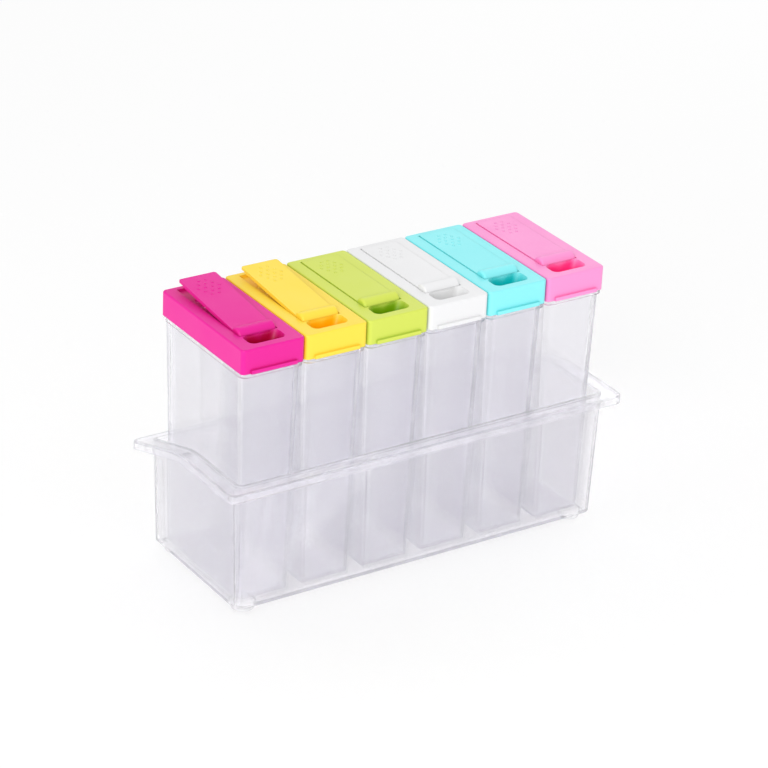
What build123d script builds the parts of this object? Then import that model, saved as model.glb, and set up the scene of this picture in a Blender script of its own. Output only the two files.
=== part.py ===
from build123d import *
import math
import os

# Spice rack: a clear open tray that holds six narrow clear jars side by side.
# Each jar has a push-on coloured lid, and each lid a long flap that rocks near its front.
# Millimetres. X runs along the row of jars, -Y is the front, Z is up.
# The origin is at the middle of the underside of the feet.

# Row of jars
colours = ["magenta", "yellow", "lime", "white", "cyan", "pink"]
jar_pitch = 32.0

# Angles that two of the flaps stand open at rest, in degrees
magenta_open_angle = 5.5
yellow_open_angle = 5.0

# Lid
lid_gap = 0.4
lid_depth = 70.6
lid_height = 11.6
lid_wall = 1.2
lid_top_thickness = 1.6
lid_corner_radius = 2.0
lid_edge_radius = 0.8
pull_tab_side_inset = 4.3
pull_tab_reach = 1.0
pull_tab_height = 1.8

# Jar, drafted so that it widens towards its bead
jar_body_height = 111.6
jar_draft_angle = 1.488
jar_corner_radius = 1.6
jar_bottom_edge_radius = 1.2
jar_bottom_thickness = 1.8
jar_inner_draft_angle = 1.055
jar_inner_corner_radius = 0.8
bead_inset = 0.1
bead_reach = 0.5
bead_height = 2.0
bead_corner_radius = 3.0
neck_height = 7.6
neck_clearance = 0.2
neck_wall = 1.2
neck_corner_radius = 2.0

# Tray walls and floor, with room round the row of jars
tray_end_gap = 1.2
tray_side_gap = 2.45
tray_wall = 1.6
tray_draft_angle = 1.669
tray_corner_radius = 3.0
tray_bottom_edge_radius = 1.5
floor_thickness = 1.8
foot_height = 3.0
foot_radius = 5.5
foot_inset = 7.7
foot_edge_radius = 0.8

# Tray rim: level in front, falling in a straight slope to the back
rim_height = 66.5
rim_level_end = 1.0
rim_fall_angle = 16.7
rim_bend_radius = 50.0
rim_end_reach = 6.5
rim_side_reach = 5.55
rim_thickness = 1.6
rim_lip_height = 4.3
rim_lip_wall = 1.5
rim_corner_radius = 3.8
rim_edge_radius = 0.9
cutter_margin = 1.0

# Finger slot, measured from the front of the lid, narrower at its floor
slot_front = 4.3
slot_length = 8.9
slot_width = 18.2
slot_depth = 6.0
slot_floor_length = 7.0
slot_floor_width = 13.0
slot_corner_radius = 3.0
slot_floor_thickness = 1.2

# Hinge roll along the front of the flap, measured from the front and top of the lid
hinge_y = 17.2
hinge_drop = 1.3
roll_radius = 3.8
roll_gap = 0.3
roll_end_radius = 1.2
pin_radius = 0.8
pin_length = 1.1
pin_clearance = 0.05

# Flap
flap_width = 18.8
flap_end = 67.3
flap_thickness = 1.6
flap_proud = 0.4
flap_side_gap = 0.3
flap_corner_radius = 1.2
end_lip_length = 4.0
end_lip_thickness = 1.0

# Window for the flap and the seat under it
seat_thickness = 1.4
pan_wall = 1.2

# Shaker holes through the seat
shaker_radius = 1.6
shaker_spacing = 6.0
shaker_columns = 3
shaker_rows = 3
shaker_middle = 49.0

# Places and sizes worked out from the ones above
jar_count = len(colours)
jar_places = [(i - (jar_count - 1) / 2) * jar_pitch for i in range(jar_count)]
open_angles = {"magenta": magenta_open_angle, "yellow": yellow_open_angle}
floor_top = foot_height + floor_thickness
bead_bottom = floor_top + jar_body_height
lid_bottom = bead_bottom + bead_height
lid_top = lid_bottom + lid_height
lid_width = jar_pitch - lid_gap
lid_front = -lid_depth / 2
bead_width = lid_width - 2 * bead_inset
bead_depth = lid_depth - 2 * bead_inset
jar_taper = jar_body_height * math.tan(math.radians(jar_draft_angle))
jar_width_bottom = bead_width - 2 * bead_reach - 2 * jar_taper
jar_depth_bottom = bead_depth - 2 * bead_reach - 2 * jar_taper
neck_width = lid_width - 2 * (lid_wall + neck_clearance)
neck_depth = lid_depth - 2 * (lid_wall + neck_clearance)
jar_inner_bottom = floor_top + jar_bottom_thickness
jar_inner_height = lid_bottom + neck_height - jar_inner_bottom
jar_inner_taper = jar_inner_height * math.tan(math.radians(jar_inner_draft_angle))
jar_inner_width_bottom = neck_width - 2 * neck_wall - 2 * jar_inner_taper
jar_inner_depth_bottom = neck_depth - 2 * neck_wall - 2 * jar_inner_taper
slot_middle = lid_front + slot_front + slot_length / 2
seat_top = lid_top + flap_proud - flap_thickness
hinge_place = (lid_front + hinge_y, lid_top - hinge_drop)
groove_radius = roll_radius + roll_gap
window_width = flap_width + 2 * flap_side_gap
window_back = lid_front + flap_end + flap_side_gap
pan_width = window_width + 2 * pan_wall
pan_front = lid_front + slot_front - slot_floor_thickness
pan_back = hinge_place[0] + groove_radius + pan_wall
tray_length_top = jar_count * jar_pitch + 2 * (tray_end_gap + tray_wall)
tray_depth_top = lid_depth + 2 * (tray_side_gap + tray_wall)
tray_taper = (rim_height - foot_height) * math.tan(math.radians(tray_draft_angle))
tray_length_bottom = tray_length_top - 2 * tray_taper
tray_depth_bottom = tray_depth_top - 2 * tray_taper
foot_x = tray_length_bottom / 2 - foot_inset
foot_y = tray_depth_bottom / 2 - foot_inset
rim_length = tray_length_top + 2 * rim_end_reach
rim_depth = tray_depth_top + 2 * rim_side_reach
half_rim = rim_depth / 2 + cutter_margin
rim_back = rim_height - math.tan(math.radians(rim_fall_angle)) * (half_rim - rim_level_end)
rim_above = rim_height + cutter_margin


# Shape of the space above the rim, used to cut the tray and its flange
with BuildPart() as above_rim:
    with BuildSketch(Plane.YZ.offset(-rim_length / 2 - cutter_margin)) as above_sketch:
        with BuildLine():
            Polyline(
                (-half_rim, rim_height),
                (rim_level_end, rim_height),
                (half_rim, rim_back),
                (half_rim, rim_above),
                (-half_rim, rim_above),
                close=True,
            )
        make_face()
        bend = above_sketch.vertices().sort_by_distance((rim_level_end, rim_height, 0))[0]
        fillet(bend, rim_bend_radius)
    extrude(amount=rim_length + 2 * cutter_margin)

# Shape of the space below the lip's bottom edge
with BuildPart() as below_lip:
    with BuildSketch(Plane.YZ.offset(-rim_length / 2 - cutter_margin)) as below_sketch:
        with BuildLine():
            Polyline(
                (-half_rim, rim_height - rim_lip_height),
                (rim_level_end, rim_height - rim_lip_height),
                (half_rim, rim_back - rim_lip_height),
                (half_rim, 0),
                (-half_rim, 0),
                close=True,
            )
        make_face()
        bend = below_sketch.vertices().sort_by_distance((rim_level_end, rim_height - rim_lip_height, 0))[0]
        fillet(bend, rim_bend_radius)
    extrude(amount=rim_length + 2 * cutter_margin)

# Hollow under the flange, inside the lip
with BuildPart() as under_flange:
    with BuildSketch():
        RectangleRounded(
            rim_length - 2 * rim_lip_wall,
            rim_depth - 2 * rim_lip_wall,
            rim_corner_radius - rim_lip_wall,
        )
    extrude(amount=rim_height)
    with Locations((0, 0, -rim_thickness)):
        add(above_rim.part, mode=Mode.SUBTRACT)

# Flange with its turned-down lip
with BuildPart() as flange:
    with BuildSketch():
        RectangleRounded(rim_length, rim_depth, rim_corner_radius)
    extrude(amount=rim_height)
    add(above_rim.part, mode=Mode.SUBTRACT)
    top_faces = [
        face
        for face in flange.faces()
        if face.normal_at(face.center()).Z > 0.5
    ]
    top_edges = [
        edge
        for edge in ShapeList(top_faces).edges()
        if abs((edge @ 0.5).X) > rim_length / 2 - rim_corner_radius
        or abs((edge @ 0.5).Y) > rim_depth / 2 - rim_corner_radius
    ]
    fillet(top_edges, rim_edge_radius)
    add(below_lip.part, mode=Mode.SUBTRACT)
    add(under_flange.part, mode=Mode.SUBTRACT)

# Foot
with BuildPart() as foot:
    with BuildSketch():
        Circle(foot_radius)
    extrude(amount=foot_height + floor_thickness / 2)
    fillet(foot.faces().sort_by(Axis.Z)[0].edges(), foot_edge_radius)

# Tray
with BuildPart() as tray:
    with BuildSketch(Plane.XY.offset(foot_height)):
        RectangleRounded(tray_length_bottom, tray_depth_bottom, tray_corner_radius)
    extrude(amount=rim_height - foot_height, taper=-tray_draft_angle)
    fillet(tray.faces().sort_by(Axis.Z)[0].edges(), tray_bottom_edge_radius)
    add(above_rim.part, mode=Mode.SUBTRACT)
    add(flange.part)
    with BuildSketch(Plane.XY.offset(foot_height)):
        RectangleRounded(
            tray_length_bottom - 2 * tray_wall,
            tray_depth_bottom - 2 * tray_wall,
            tray_corner_radius - tray_wall,
        )
    extrude(amount=rim_above - foot_height, taper=-tray_draft_angle, mode=Mode.SUBTRACT)
    with BuildSketch(Plane.XY.offset(foot_height)):
        RectangleRounded(
            tray_length_bottom - tray_wall,
            tray_depth_bottom - tray_wall,
            tray_corner_radius - tray_wall / 2,
        )
    extrude(amount=floor_thickness)
    with GridLocations(2 * foot_x, 2 * foot_y, 2, 2):
        add(foot.part)

# Jar at the middle of the row
with BuildPart() as jar_model:
    with BuildSketch(Plane.XY.offset(floor_top)):
        RectangleRounded(jar_width_bottom, jar_depth_bottom, jar_corner_radius)
    extrude(amount=jar_body_height, taper=-jar_draft_angle)
    fillet(jar_model.faces().sort_by(Axis.Z)[0].edges(), jar_bottom_edge_radius)
    with BuildSketch(Plane.XY.offset(bead_bottom)):
        RectangleRounded(bead_width, bead_depth, bead_corner_radius)
    extrude(amount=bead_height)
    with BuildSketch(Plane.XY.offset(lid_bottom)):
        RectangleRounded(neck_width, neck_depth, neck_corner_radius)
    extrude(amount=neck_height)
    with BuildSketch(Plane.XY.offset(jar_inner_bottom)):
        RectangleRounded(jar_inner_width_bottom, jar_inner_depth_bottom, jar_inner_corner_radius)
    extrude(amount=jar_inner_height, taper=-jar_inner_draft_angle, mode=Mode.SUBTRACT)

# Lid at the middle of the row
with BuildPart() as lid_model:
    with BuildSketch(Plane.XY.offset(lid_bottom)):
        RectangleRounded(lid_width, lid_depth, lid_corner_radius)
    extrude(amount=lid_height)
    fillet(lid_model.faces().sort_by(Axis.Z)[-1].edges(), lid_edge_radius)
    with BuildSketch(Plane.XY.offset(lid_bottom)):
        RectangleRounded(
            lid_width - 2 * lid_wall, lid_depth - 2 * lid_wall, lid_corner_radius - lid_wall / 2
        )
    extrude(amount=lid_height - lid_top_thickness, mode=Mode.SUBTRACT)

    # Front pan, deep enough for the finger slot and the hinge groove
    with BuildSketch(Plane.XY.offset(lid_top - slot_depth - slot_floor_thickness)):
        with Locations((0, (pan_front + pan_back) / 2)):
            Rectangle(pan_width, pan_back - pan_front)
    extrude(amount=slot_depth + slot_floor_thickness - lid_top_thickness / 2)

    # Seat under the flap, and the window above it
    with BuildSketch(Plane.XY.offset(seat_top - seat_thickness)):
        with Locations((0, (pan_back + window_back + pan_wall) / 2)):
            Rectangle(pan_width, window_back + pan_wall - pan_back)
    extrude(amount=lid_top - lid_top_thickness / 2 - seat_top + seat_thickness)
    with BuildSketch(Plane.XY.offset(seat_top)):
        with Locations((0, (hinge_place[0] + window_back) / 2)):
            Rectangle(window_width, window_back - hinge_place[0])
    extrude(amount=lid_top - seat_top, mode=Mode.SUBTRACT)
    with BuildSketch(Plane.YZ.offset(-window_width / 2)):
        with Locations(hinge_place):
            Circle(groove_radius)
    extrude(amount=window_width, mode=Mode.SUBTRACT)

    # Finger slot
    with BuildSketch(Plane.XY.offset(lid_top)):
        with Locations((0, slot_middle)):
            RectangleRounded(slot_width, slot_length, slot_corner_radius)
    with BuildSketch(Plane.XY.offset(lid_top - slot_depth)):
        with Locations((0, slot_middle)):
            RectangleRounded(slot_floor_width, slot_floor_length, slot_corner_radius)
    loft(mode=Mode.SUBTRACT)

    # Holes for the pins of the flap
    with BuildSketch(Plane.YZ.offset(-pan_width / 2)):
        with Locations(hinge_place):
            Circle(pin_radius + pin_clearance)
    extrude(amount=pan_width, mode=Mode.SUBTRACT)

    # Shaker holes through the seat
    with BuildSketch(Plane.XY.offset(seat_top - seat_thickness)):
        with Locations((0, lid_front + shaker_middle)):
            with GridLocations(shaker_spacing, shaker_spacing, shaker_columns, shaker_rows):
                Circle(shaker_radius)
    extrude(amount=seat_thickness, mode=Mode.SUBTRACT)

    # Pull tab along the bottom of the front
    with BuildSketch(Plane.XY.offset(lid_bottom)):
        with Locations((0, lid_front - pull_tab_reach / 2 + lid_wall / 4)):
            Rectangle(lid_width - 2 * pull_tab_side_inset, pull_tab_reach + lid_wall / 2)
    extrude(amount=pull_tab_height)

# Flap at the middle of the row, closed
with BuildPart() as flap_model:
    with BuildSketch(Plane.YZ.offset(-flap_width / 2)):
        with Locations(hinge_place):
            Circle(roll_radius)
    extrude(amount=flap_width)
    fillet(flap_model.edges().filter_by(GeomType.CIRCLE), roll_end_radius)
    with BuildSketch(Plane.XY.offset(seat_top)):
        with Locations((0, (hinge_place[0] + lid_front + flap_end) / 2)):
            Rectangle(flap_width, lid_front + flap_end - hinge_place[0])
    extrude(amount=flap_thickness)
    fillet(flap_model.edges().filter_by(Axis.Z).group_by(Axis.Y)[-1], flap_corner_radius)

    # Thin end at the back
    with BuildSketch(Plane.XY.offset(seat_top)):
        with Locations((0, lid_front + flap_end - end_lip_length / 2)):
            Rectangle(flap_width, end_lip_length)
    extrude(amount=flap_thickness - end_lip_thickness, mode=Mode.SUBTRACT)

    # Hinge pins
    with BuildSketch(Plane.YZ.offset(-flap_width / 2 - pin_length)):
        with Locations(hinge_place):
            Circle(pin_radius)
    extrude(amount=flap_width + 2 * pin_length)

os.makedirs("parts", exist_ok=True)

tray.part.label = "tray"
export_step(tray.part, "parts/tray.step")

hinge_axis = Axis((0, hinge_place[0], hinge_place[1]), (1, 0, 0))

for colour, place in zip(colours, jar_places):
    with BuildPart() as jar:
        with Locations((place, 0, 0)):
            add(jar_model.part)
    jar.part.label = "jar_" + colour
    export_step(jar.part, "parts/jar_" + colour + ".step")

    with BuildPart() as lid:
        with Locations((place, 0, 0)):
            add(lid_model.part)
    lid.part.label = "lid_" + colour
    export_step(lid.part, "parts/lid_" + colour + ".step")

    with BuildPart() as flap:
        with Locations((place, 0, 0)):
            add(flap_model.part.rotate(hinge_axis, open_angles.get(colour, 0)))
    flap.part.label = "flap_" + colour
    export_step(flap.part, "parts/flap_" + colour + ".step")
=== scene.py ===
import math

import bmesh
import bpy
from mathutils import Matrix, Vector


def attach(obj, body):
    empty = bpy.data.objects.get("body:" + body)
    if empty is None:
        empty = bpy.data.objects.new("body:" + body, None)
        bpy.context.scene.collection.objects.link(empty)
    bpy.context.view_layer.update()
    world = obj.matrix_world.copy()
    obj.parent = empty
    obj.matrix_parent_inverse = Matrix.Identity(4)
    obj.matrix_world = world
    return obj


# Spice rack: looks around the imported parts. Metres, in the row's own frame.

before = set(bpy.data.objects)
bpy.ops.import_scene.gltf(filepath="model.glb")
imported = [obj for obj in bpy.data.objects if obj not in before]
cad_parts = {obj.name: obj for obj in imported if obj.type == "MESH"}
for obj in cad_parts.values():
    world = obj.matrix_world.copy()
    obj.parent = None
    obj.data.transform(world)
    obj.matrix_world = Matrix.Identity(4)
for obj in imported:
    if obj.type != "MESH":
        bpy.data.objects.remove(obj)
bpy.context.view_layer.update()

MM = 0.001

COLOURS = ["magenta", "yellow", "lime", "white", "cyan", "pink"]
JAR_PITCH = 32 * MM
MIDDLE_OF_ROW = (len(COLOURS) - 1) / 2
JAR_X = {name: (index - MIDDLE_OF_ROW) * JAR_PITCH for index, name in enumerate(COLOURS)}

# Flaps: where they turn, and how far two of them stand open in degrees
HINGE = Vector((0, -18.1 * MM, 128.7 * MM))
OPEN_ANGLES = {"magenta": 5.5, "yellow": 5.0}
FLAP_TOP = 130.4 * MM

# Grip dots of a flap: the rows of the cluster, and each dot's outline from its foot to its top
DOTS_Y = 21.2 * MM
DOT_RADIUS = 0.7 * MM
DOT_HEIGHT = 0.16 * MM
DOT_SPACING = 3.5 * MM
DOT_ROWS = (2, 3, 4, 3, 2)
DOT_ROW_SHARE = 0.87
DOT_SIDES = 16
DOT_OUTLINE = [(1.0, -0.2), (0.97, 0.35), (0.80, 0.75), (0.45, 0.97)]

# Space of a lid's finger slot, with a small margin. Painted shade darkens its hollows in full, and
# the hollows of other gaps get a share of that painted shade.
SLOT_Y = -26.55 * MM
SLOT_HALF_LENGTH = 4.6 * MM
SLOT_HALF_WIDTH = 9.5 * MM
GAP_SHADE_SHARE = 0.35

# Each plastic's colour at its surface, and the darker colour of the painted shade in its finger slot
# and gaps
PLASTICS = {
    "magenta": ((0.84, 0.012, 0.33), (0.46, 0.0, 0.04)),
    "yellow": ((1.0, 0.76, 0.07), (1.0, 0.48, 0.0)),
    "lime": ((0.68, 0.78, 0.11), (0.19, 0.40, 0.0)),
    "white": ((0.86, 0.86, 0.87), (0.74, 0.74, 0.74)),
    "cyan": ((0.28, 0.90, 0.94), (0.0, 0.55, 0.56)),
    "pink": ((1.0, 0.33, 0.68), (1.0, 0.04, 0.28)),
}

# Clear plastic: how much of it is a plain tinted film, the tint of that film face on,
# and the colour of the faint painted glow that each wall gives off, standing in for light its milky
# haze scatters
FILM_SHARE = 0.32
CLEAR_TINT = (0.978, 0.976, 0.984)
PAINTED_GLOW_COLOUR = (0.66, 0.652, 0.705)

# Just outside the tray's walls at their top; only the rim reaches beyond
WALL_HALF_LENGTH = 98.9 * MM
WALL_HALF_DEPTH = 39.5 * MM

# Camera at the photograph's angle
CAMERA_LENS = 151.74
CAMERA_SENSOR = 36
CAMERA_SHIFT = -0.0105
CAMERA_NEAR = 0.01
CAMERA_PLACE = Vector((-0.73972, -1.09716, 0.73238))
CAMERA_FORWARD = Vector((0.50364, 0.74119, -0.44384))
CAMERA_ROLL = math.radians(2.796)

# Floor, light and how often light passes on through the clear walls
FLOOR_REACH = 6.0
STUDIO_STRENGTH = 0.74
LAMP_AIM = Vector((0, 0, 0.07))
BOUNCES = 40
CLEAR_BOUNCES = 64


def new_material(name):
    """An empty node material with its output node."""
    material = bpy.data.materials.new(name)
    material.use_nodes = True
    nodes = material.node_tree.nodes
    nodes.clear()
    output = nodes.new("ShaderNodeOutputMaterial")
    return material, nodes, material.node_tree.links, output


def set_sockets(node, values):
    """Sets constant values straight on a node's own sockets."""
    for name, value in values.items():
        node.inputs[name].default_value = value


def near(nodes, links, value, middle, reach):
    """One where a value lies within reach of its middle, and nought elsewhere."""
    inside = nodes.new("ShaderNodeMath")
    inside.operation = "COMPARE"
    inside.inputs[1].default_value = middle
    inside.inputs[2].default_value = reach
    links.new(value, inside.inputs[0])
    return inside.outputs[0]


def times(nodes, links, first, second):
    """The product of two values."""
    product = nodes.new("ShaderNodeMath")
    product.operation = "MULTIPLY"
    links.new(first, product.inputs[0])
    links.new(second, product.inputs[1])
    return product.outputs[0]


def clear_plastic(name, colour, ior, roughness, painted_glow, edge_colour, rim_painted_glow=None):
    """Thin clear moulded plastic: a faint even tint, finer and darker lines where it is seen edge on.

    A rim outside the tray's walls can give off a brighter painted glow than the walls.
    """
    material, nodes, links, output = new_material(name)
    shell = nodes.new("ShaderNodeBsdfPrincipled")
    set_sockets(shell, {"Base Color": (*colour, 1), "IOR": ior, "Transmission Weight": 1.0})
    # A faint lilac emission: painted glow that stands in for light scattered in the plastic's haze
    set_sockets(shell, {"Emission Color": (*PAINTED_GLOW_COLOUR, 1), "Emission Strength": painted_glow})
    place = nodes.new("ShaderNodeTexCoord")
    flow = nodes.new("ShaderNodeTexNoise")
    set_sockets(flow, {"Scale": 35.0, "Detail": 3.0})
    gloss = nodes.new("ShaderNodeMapRange")
    set_sockets(gloss, {"From Min": 0.3, "From Max": 0.7})
    set_sockets(gloss, {"To Min": 0.7 * roughness, "To Max": 1.3 * roughness})
    facing = nodes.new("ShaderNodeLayerWeight")
    set_sockets(facing, {"Blend": 0.5})
    edge = nodes.new("ShaderNodeMath")
    edge.operation = "POWER"
    edge.inputs[1].default_value = 5.0
    tint = nodes.new("ShaderNodeMix")
    tint.data_type = "RGBA"
    tint.inputs["A"].default_value = (*CLEAR_TINT, 1)
    tint.inputs["B"].default_value = (*edge_colour, 1)
    clear = nodes.new("ShaderNodeBsdfTransparent")
    body = nodes.new("ShaderNodeMixShader")
    body.inputs["Fac"].default_value = FILM_SHARE
    path = nodes.new("ShaderNodeLightPath")
    lit = nodes.new("ShaderNodeMixShader")
    links.new(place.outputs["Object"], flow.inputs["Vector"])
    # The rim outside the walls gets a stronger painted glow, which brightens it like a highlight
    if rim_painted_glow is not None:
        apart = nodes.new("ShaderNodeSeparateXYZ")
        across = near(nodes, links, apart.outputs["X"], 0, WALL_HALF_LENGTH)
        along = near(nodes, links, apart.outputs["Y"], 0, WALL_HALF_DEPTH)
        glow = nodes.new("ShaderNodeMapRange")
        set_sockets(glow, {"To Min": rim_painted_glow, "To Max": painted_glow})
        links.new(place.outputs["Object"], apart.inputs["Vector"])
        links.new(times(nodes, links, across, along), glow.inputs["Value"])
        links.new(glow.outputs["Result"], shell.inputs["Emission Strength"])
    links.new(flow.outputs["Fac"], gloss.inputs["Value"])
    links.new(gloss.outputs["Result"], shell.inputs["Roughness"])
    links.new(facing.outputs["Facing"], edge.inputs[0])
    links.new(edge.outputs[0], tint.inputs["Factor"])
    links.new(tint.outputs["Result"], clear.inputs["Color"])
    links.new(shell.outputs["BSDF"], body.inputs[1])
    links.new(clear.outputs["BSDF"], body.inputs[2])
    links.new(path.outputs["Is Shadow Ray"], lit.inputs["Fac"])
    links.new(body.outputs["Shader"], lit.inputs[1])
    links.new(clear.outputs["BSDF"], lit.inputs[2])
    links.new(lit.outputs["Shader"], output.inputs["Surface"])
    return material


def coloured_plastic(name, surface, shade_colour, slot_x):
    """Satin coloured plastic with softened edges, faint grain, and painted shade darkening its
    occluded hollows, most in its slot.
    """
    material, nodes, links, output = new_material(name)
    shell = nodes.new("ShaderNodeBsdfPrincipled")
    set_sockets(shell, {"IOR": 1.49, "Specular IOR Level": 0.28})
    place = nodes.new("ShaderNodeTexCoord")
    # Painted shade: ambient occlusion darkens the base colour toward the shade colour, fully in the
    # slot and by a share in other gaps
    occlusion = nodes.new("ShaderNodeAmbientOcclusion")
    occlusion.samples = 8
    set_sockets(occlusion, {"Distance": 9 * MM})
    shadedness = nodes.new("ShaderNodeMapRange")
    set_sockets(shadedness, {"From Min": 0.58, "From Max": 0.92, "To Min": 1.0, "To Max": 0.0})
    apart = nodes.new("ShaderNodeSeparateXYZ")
    across = near(nodes, links, apart.outputs["X"], slot_x, SLOT_HALF_WIDTH)
    along = near(nodes, links, apart.outputs["Y"], SLOT_Y, SLOT_HALF_LENGTH)
    share = nodes.new("ShaderNodeMapRange")
    set_sockets(share, {"To Min": GAP_SHADE_SHARE, "To Max": 1.0})
    shaded_base_colour = nodes.new("ShaderNodeMix")
    shaded_base_colour.data_type = "RGBA"
    shaded_base_colour.inputs["A"].default_value = (*surface, 1)
    shaded_base_colour.inputs["B"].default_value = (*shade_colour, 1)
    cloud = nodes.new("ShaderNodeTexNoise")
    set_sockets(cloud, {"Scale": 70.0, "Detail": 2.0})
    gloss = nodes.new("ShaderNodeMapRange")
    set_sockets(gloss, {"From Min": 0.3, "From Max": 0.7, "To Min": 0.30, "To Max": 0.42})
    grain = nodes.new("ShaderNodeTexNoise")
    set_sockets(grain, {"Scale": 2400.0, "Detail": 1.0})
    soft_edge = nodes.new("ShaderNodeBevel")
    soft_edge.samples = 4
    set_sockets(soft_edge, {"Radius": 0.35 * MM})
    bump = nodes.new("ShaderNodeBump")
    set_sockets(bump, {"Strength": 0.05, "Distance": 0.02 * MM})
    links.new(occlusion.outputs["AO"], shadedness.inputs["Value"])
    links.new(place.outputs["Object"], apart.inputs["Vector"])
    links.new(times(nodes, links, across, along), share.inputs["Value"])
    painted_shade_amount = times(nodes, links, shadedness.outputs["Result"], share.outputs["Result"])
    links.new(painted_shade_amount, shaded_base_colour.inputs["Factor"])
    links.new(shaded_base_colour.outputs["Result"], shell.inputs["Base Color"])
    links.new(place.outputs["Object"], cloud.inputs["Vector"])
    links.new(cloud.outputs["Fac"], gloss.inputs["Value"])
    links.new(gloss.outputs["Result"], shell.inputs["Roughness"])
    links.new(place.outputs["Object"], grain.inputs["Vector"])
    links.new(grain.outputs["Fac"], bump.inputs["Height"])
    links.new(soft_edge.outputs["Normal"], bump.inputs["Normal"])
    links.new(bump.outputs["Normal"], shell.inputs["Normal"])
    links.new(shell.outputs["BSDF"], output.inputs["Surface"])
    return material


def dress(node_name, material):
    """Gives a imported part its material."""
    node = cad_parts[node_name]
    for slot in node.material_slots:
        slot.material = material


def grip_dots(colour, material):
    """A staggered cluster of low round dots near the free end of a flap."""
    shape = bmesh.new()
    for row, count in enumerate(DOT_ROWS):
        y = DOTS_Y + (row - (len(DOT_ROWS) - 1) / 2) * DOT_SPACING * DOT_ROW_SHARE
        for column in range(count):
            x = JAR_X[colour] + (column - (count - 1) / 2) * DOT_SPACING
            loops = []
            for reach, rise in DOT_OUTLINE:
                loops.append([
                    shape.verts.new((
                        x + DOT_RADIUS * reach * math.cos(math.tau * step / DOT_SIDES),
                        y + DOT_RADIUS * reach * math.sin(math.tau * step / DOT_SIDES),
                        FLAP_TOP + DOT_HEIGHT * rise,
                    ))
                    for step in range(DOT_SIDES)
                ])
            for low, high in zip(loops, loops[1:]):
                for step in range(DOT_SIDES):
                    after = (step + 1) % DOT_SIDES
                    shape.faces.new((low[step], low[after], high[after], high[step]))
            shape.faces.new(loops[-1])
            shape.faces.new(reversed(loops[0]))
    lean = Matrix.Rotation(math.radians(OPEN_ANGLES.get(colour, 0)), 4, "X")
    shape.transform(Matrix.Translation(HINGE) @ lean @ Matrix.Translation(-HINGE))
    mesh = bpy.data.meshes.new("grip_dots_" + colour)
    shape.to_mesh(mesh)
    shape.free()
    mesh.shade_smooth()
    mesh.materials.append(material)
    dots = bpy.data.objects.new("grip_dots_" + colour, mesh)
    bpy.context.scene.collection.objects.link(dots)
    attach(dots, "flap_" + colour)


# Camera
camera_data = bpy.data.cameras.new("camera")
camera_data.lens = CAMERA_LENS
camera_data.sensor_width = CAMERA_SENSOR
camera_data.shift_x = CAMERA_SHIFT
camera_data.clip_start = CAMERA_NEAR
camera = bpy.data.objects.new("camera", camera_data)
bpy.context.scene.collection.objects.link(camera)
bpy.context.scene.camera = camera
forward = CAMERA_FORWARD.normalized()
level = forward.cross(Vector((0, 0, 1))).normalized()
above = level.cross(forward)
right = level * math.cos(CAMERA_ROLL) + above * math.sin(CAMERA_ROLL)
upward = above * math.cos(CAMERA_ROLL) - level * math.sin(CAMERA_ROLL)
turn = Matrix((right, upward, -forward)).transposed().to_4x4()
camera.matrix_world = Matrix.Translation(CAMERA_PLACE) @ turn

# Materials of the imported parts, and the grip dots
jar_plastic = clear_plastic(
    "clear_jar",
    colour=(0.832, 0.829, 0.842),
    ior=1.20,
    roughness=0.09,
    painted_glow=0.088,
    edge_colour=(0.16, 0.15, 0.30),
)
tray_plastic = clear_plastic(
    "clear_tray",
    colour=(0.925, 0.921, 0.930),
    ior=1.44,
    roughness=0.03,
    painted_glow=0.045,
    edge_colour=(0.10, 0.10, 0.18),
    rim_painted_glow=0.11,
)
dress("tray", tray_plastic)
for colour in COLOURS:
    surface, shade_colour = PLASTICS[colour]
    plastic = coloured_plastic(colour + "_plastic_look", surface, shade_colour, JAR_X[colour])
    dress("jar_" + colour, jar_plastic)
    dress("lid_" + colour, plastic)
    dress("flap_" + colour, plastic)
    grip_dots(colour, coloured_plastic(colour + "_dots_look", surface, surface, JAR_X[colour]))

# Floor
floor_mesh = bpy.data.meshes.new("floor")
floor_mesh.from_pydata(
    [
        (-FLOOR_REACH, -FLOOR_REACH, 0),
        (FLOOR_REACH, -FLOOR_REACH, 0),
        (FLOOR_REACH, FLOOR_REACH, 0),
        (-FLOOR_REACH, FLOOR_REACH, 0),
    ],
    [],
    [(0, 1, 2, 3)],
)
floor = bpy.data.objects.new("floor", floor_mesh)
bpy.context.scene.collection.objects.link(floor)
floor_material, floor_nodes, floor_links, floor_output = new_material("floor_white")
paint = floor_nodes.new("ShaderNodeBsdfPrincipled")
set_sockets(paint, {
    "Base Color": (0.50, 0.50, 0.50, 1),
    "Roughness": 0.9,
    "Specular IOR Level": 0.0,
    "Emission Color": (1, 1, 1, 1),
    "Emission Strength": 0.52,
})
floor_links.new(paint.outputs["BSDF"], floor_output.inputs["Surface"])
floor_mesh.materials.append(floor_material)

# Soft studio light
world = bpy.data.worlds.new("studio")
bpy.context.scene.world = world
world.use_nodes = True
set_sockets(world.node_tree.nodes["Background"], {"Color": (1, 1, 1, 1), "Strength": STUDIO_STRENGTH})


def soft_lamp(name, place, size, power):
    """A square area lamp aimed at the middle of the rack."""
    data = bpy.data.lights.new(name, "AREA")
    data.size = size
    data.energy = power
    lamp = bpy.data.objects.new(name, data)
    bpy.context.scene.collection.objects.link(lamp)
    aim = (LAMP_AIM - Vector(place)).to_track_quat("-Z", "Y")
    lamp.matrix_world = Matrix.Translation(place) @ aim.to_matrix().to_4x4()


soft_lamp("key", place=(-1.0, -0.9, 0.80), size=0.8, power=10)
soft_lamp("fill", place=(1.1, 0.9, 1.0), size=1.0, power=3)

scene = bpy.context.scene
scene.view_settings.view_transform = "Standard"
scene.cycles.max_bounces = BOUNCES
scene.cycles.transmission_bounces = BOUNCES
scene.cycles.transparent_max_bounces = CLEAR_BOUNCES
